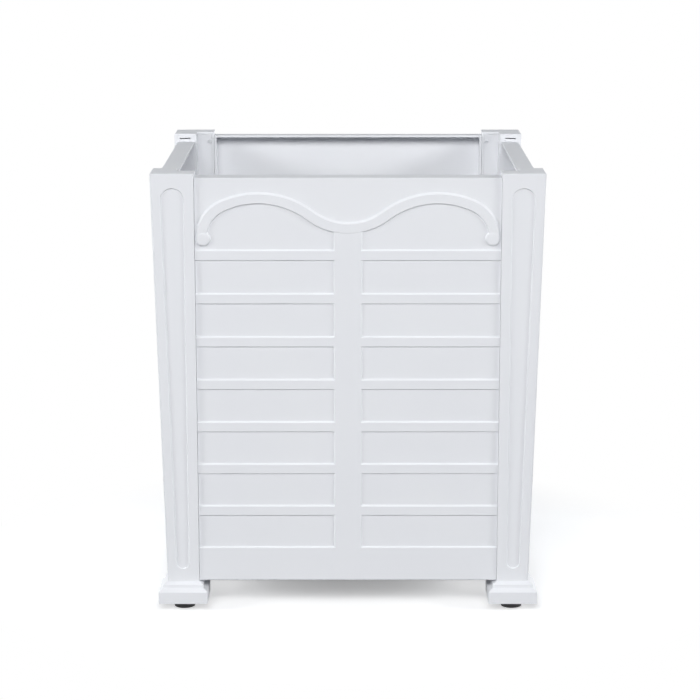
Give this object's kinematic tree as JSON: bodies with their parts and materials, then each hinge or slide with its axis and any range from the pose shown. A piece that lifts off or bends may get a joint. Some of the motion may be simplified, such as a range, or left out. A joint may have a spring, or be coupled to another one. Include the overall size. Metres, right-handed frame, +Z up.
{
  "type": "versailles planter",
  "caption": "Square tapered planter of white moulded posts and scroll-patterned tray panels, with a drop-in floor and levelling feet.",
  "frame": {"origin": "middle of the footprint, on the ground under the levelling feet", "axes": "+Z up, the front faces -Y, +X to the front's right"},
  "size_m": [0.508, 0.508, 0.586],
  "materials": {
    "white_plastic": "satin white moulded plastic",
    "black_plastic": "black moulded nylon",
    "grey_plastic": "light grey moulded plastic",
    "zinc_steel": "zinc plated steel",
    "white_steel": "screws with white coated heads",
    "insert_brass": "turned brass",
    "aluminium": "mill aluminium"
  },
  "bodies": {
    "planter": {"post_front_left": "white_plastic", "post_front_right": "white_plastic", "post_back_right": "white_plastic", "post_back_left": "white_plastic", "cover_front_left": "white_plastic", "cover_front_right": "white_plastic", "cover_back_right": "white_plastic", "cover_back_left": "white_plastic", "panel_front": "white_plastic", "panel_right": "white_plastic", "panel_back": "white_plastic", "panel_left": "white_plastic", "plinth_front_left": "white_plastic", "plinth_front_right": "white_plastic", "plinth_back_right": "white_plastic", "plinth_back_left": "white_plastic", "insert_front_left": "insert_brass", "insert_front_right": "insert_brass", "insert_back_right": "insert_brass", "insert_back_left": "insert_brass", "beam_left": "aluminium", "beam_right": "aluminium", "panel_screws": "white_steel", "plinth_screws": "white_steel"},
    "floor": {"floor_tray": "grey_plastic"},
    "glide_front_left": {"glide_front_left": "black_plastic"},
    "stud_front_left": {"stud_front_left": "zinc_steel"},
    "glide_front_right": {"glide_front_right": "black_plastic"},
    "stud_front_right": {"stud_front_right": "zinc_steel"},
    "glide_back_right": {"glide_back_right": "black_plastic"},
    "stud_back_right": {"stud_back_right": "zinc_steel"},
    "glide_back_left": {"glide_back_left": "black_plastic"},
    "stud_back_left": {"stud_back_left": "zinc_steel"}
  },
  "joints": [
    {"name": "floor_lift", "type": "slide", "parent": "planter", "child": "floor", "axis": [0, 0, 1], "range_m": [0, 0.56]},
    {"name": "foot_front_left_drop", "type": "slide", "parent": "planter", "child": "glide_front_left", "axis": [0, 0, -1], "range_m": [0, 0.0121]},
    {"name": "foot_front_left_turn", "type": "hinge", "parent": "glide_front_left", "child": "stud_front_left", "pos_m": [-0.2185, -0.2185, 0.0065], "axis": [0, 0, -1], "range_deg": [0, 3456]},
    {"name": "foot_front_right_drop", "type": "slide", "parent": "planter", "child": "glide_front_right", "axis": [0, 0, -1], "range_m": [0, 0.0121]},
    {"name": "foot_front_right_turn", "type": "hinge", "parent": "glide_front_right", "child": "stud_front_right", "pos_m": [0.2185, -0.2185, 0.0065], "axis": [0, 0, -1], "range_deg": [0, 3456]},
    {"name": "foot_back_right_drop", "type": "slide", "parent": "planter", "child": "glide_back_right", "axis": [0, 0, -1], "range_m": [0, 0.0121]},
    {"name": "foot_back_right_turn", "type": "hinge", "parent": "glide_back_right", "child": "stud_back_right", "pos_m": [0.2185, 0.2185, 0.0065], "axis": [0, 0, -1], "range_deg": [0, 3456]},
    {"name": "foot_back_left_drop", "type": "slide", "parent": "planter", "child": "glide_back_left", "axis": [0, 0, -1], "range_m": [0, 0.0121]},
    {"name": "foot_back_left_turn", "type": "hinge", "parent": "glide_back_left", "child": "stud_back_left", "pos_m": [-0.2185, 0.2185, 0.0065], "axis": [0, 0, -1], "range_deg": [0, 3456]}
  ],
  "couplings": [
    {"joint": "foot_front_left_drop", "follows": "foot_front_left_turn", "m_per_rad": 0.00019894},
    {"joint": "foot_front_right_drop", "follows": "foot_front_right_turn", "m_per_rad": 0.00019894},
    {"joint": "foot_back_right_drop", "follows": "foot_back_right_turn", "m_per_rad": 0.00019894},
    {"joint": "foot_back_left_drop", "follows": "foot_back_left_turn", "m_per_rad": 0.00019894}
  ]
}
